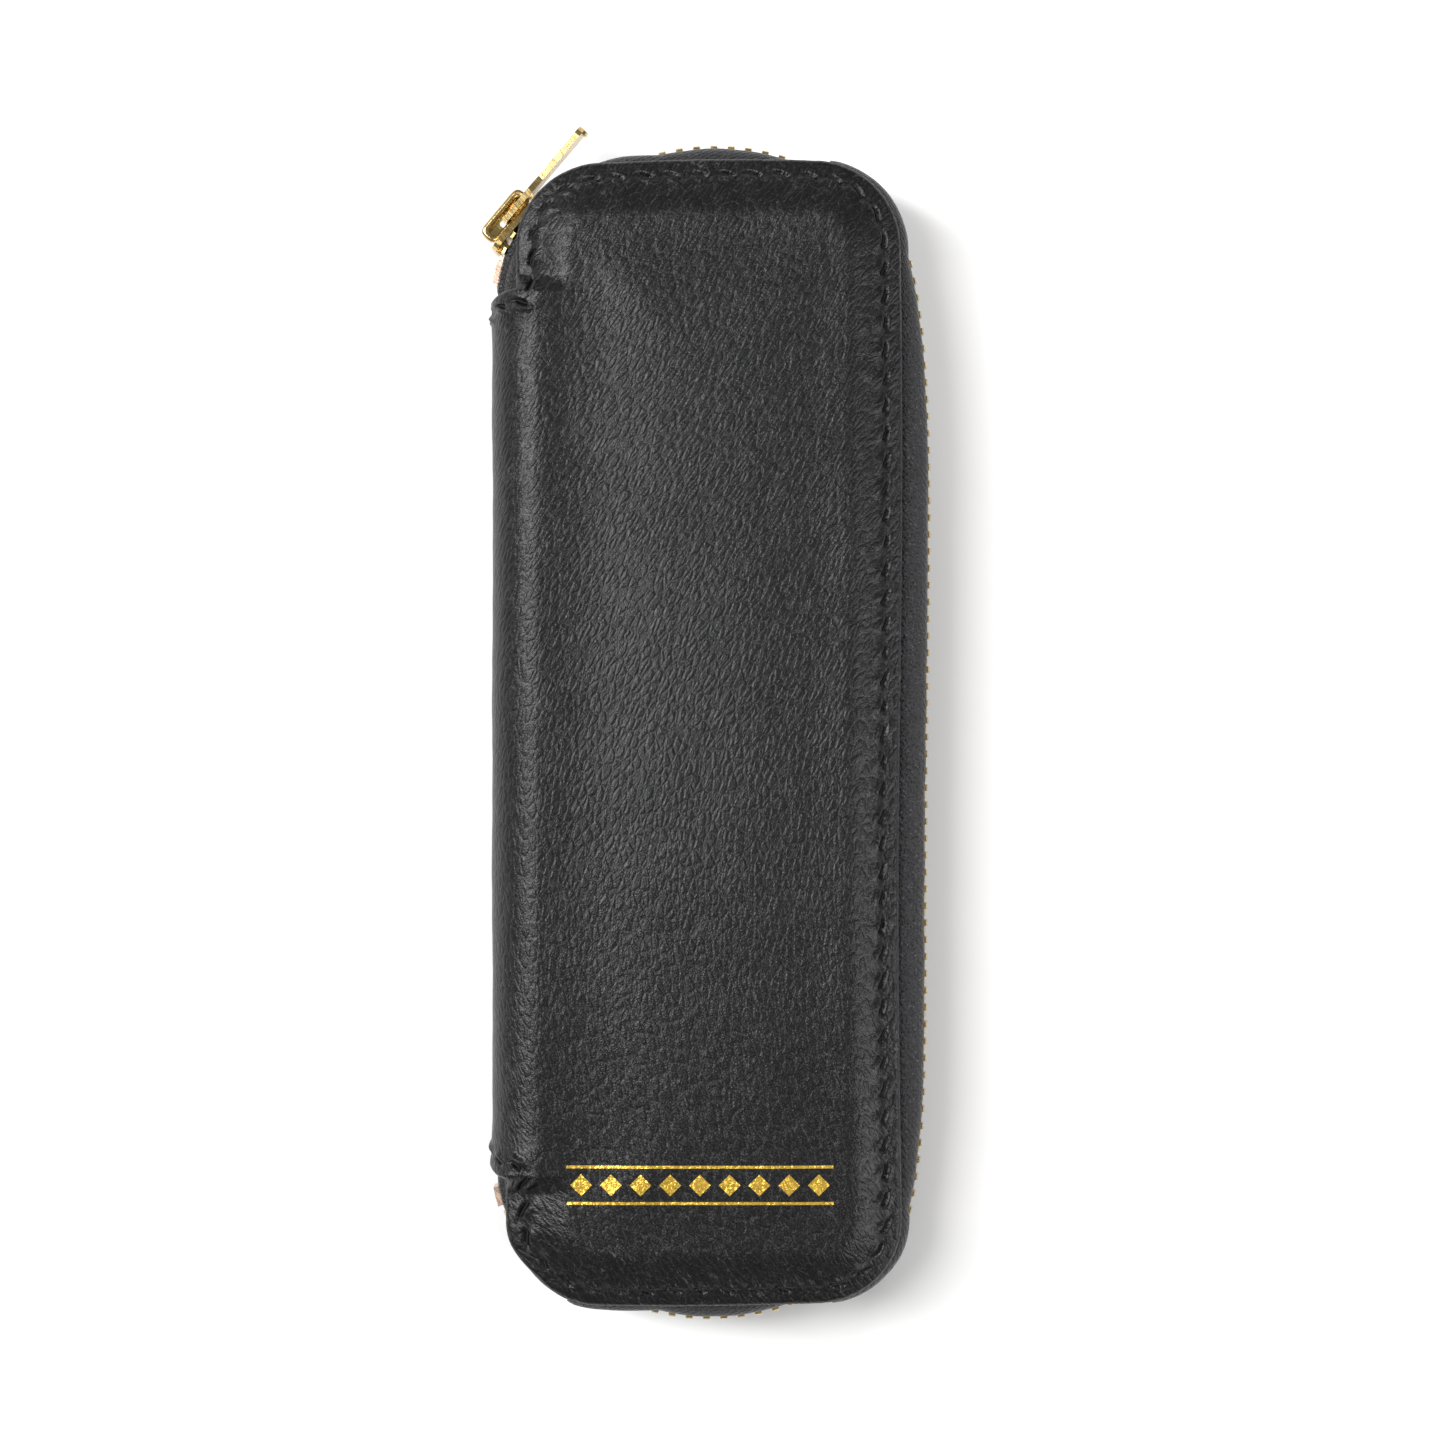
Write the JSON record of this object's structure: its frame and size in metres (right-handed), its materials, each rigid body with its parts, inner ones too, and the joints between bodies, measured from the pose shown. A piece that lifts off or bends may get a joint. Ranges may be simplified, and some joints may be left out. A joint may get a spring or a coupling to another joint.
{
  "type": "fountain pen case",
  "caption": "Slim zip-around leather case with padded covers, a folding spine, pen loops, a slip pocket and a metal zip.",
  "frame": {"origin": "middle of the back cover's flat outer face, on which the case lies", "axes": "+X from the spine to the opening edge, +Y along the case towards the end with the slider, +Z from the back cover to the front cover"},
  "size_m": [0.0672, 0.1796, 0.026],
  "materials": {
    "leather": "soft pebbled, semi-matt, near black",
    "lining": "matt suede-like cloth",
    "foam": "soft closed-cell foam",
    "greyboard": "pressed grey board",
    "tape": "woven zip tape",
    "brass": "polished, slightly worn",
    "copper": "polished, reddish",
    "thread": "waxed thread",
    "elastic": "woven elastic webbing"
  },
  "bodies": {
    "back_cover": {"leather_back": "leather", "padding_back": "foam", "board_back": "greyboard", "lining_back": "lining", "stitching_back": "thread", "pen_loops_upper": "elastic", "pen_loops_lower": "elastic", "zip_tape_main_back": "tape", "zip_teeth_main_back": "brass"},
    "spine": {"leather_spine": "leather", "spine_board": "greyboard", "lining_spine": "lining", "spine_stitching_top": "thread", "spine_stitching_bottom": "thread", "zip_tape_end_top_front": "tape", "zip_tape_end_top_back": "tape", "zip_tape_end_bottom_front": "tape", "zip_tape_end_bottom_back": "tape", "zip_teeth_end_top_front": "brass", "zip_teeth_end_top_back": "brass", "zip_teeth_end_bottom_front": "brass", "zip_teeth_end_bottom_back": "brass", "top_stop_front": "copper", "top_stop_back": "copper", "bottom_stop": "copper"},
    "front_cover": {"leather_front": "leather", "padding_front": "foam", "board_front": "greyboard", "lining_front": "lining", "stitching_front": "thread", "slip_pocket": "lining", "pocket_stitching": "thread", "zip_tape_main_front": "tape", "zip_teeth_main_front": "brass"},
    "slider": {"slider_body": "brass", "slider_bail": "brass"},
    "pull": {"pull_tab": "brass"}
  },
  "joints": [
    {"name": "spine_fold", "type": "hinge", "parent": "back_cover", "child": "spine", "pos_m": [-0.03128, 0, 0.00172], "axis": [0, -1, 0], "range_deg": [0, 90]},
    {"name": "front_fold", "type": "hinge", "parent": "spine", "child": "front_cover", "pos_m": [-0.03128, 0, 0.02428], "axis": [0, -1, 0], "range_deg": [0, 90]},
    {"name": "slider_travel", "type": "hinge", "parent": "spine", "child": "slider", "pos_m": [-0.0162, 0.0657, 0.013], "axis": [0, 0, -1], "range_deg": [0, 22]},
    {"name": "pull_swing", "type": "hinge", "parent": "slider", "child": "pull", "pos_m": [-0.0309, 0.07751, 0.013], "axis": [0, 0, 1], "range_deg": [0, 170]}
  ],
  "couplings": [
    {"joint": "front_fold", "follows": "spine_fold", "ratio": 1}
  ]
}
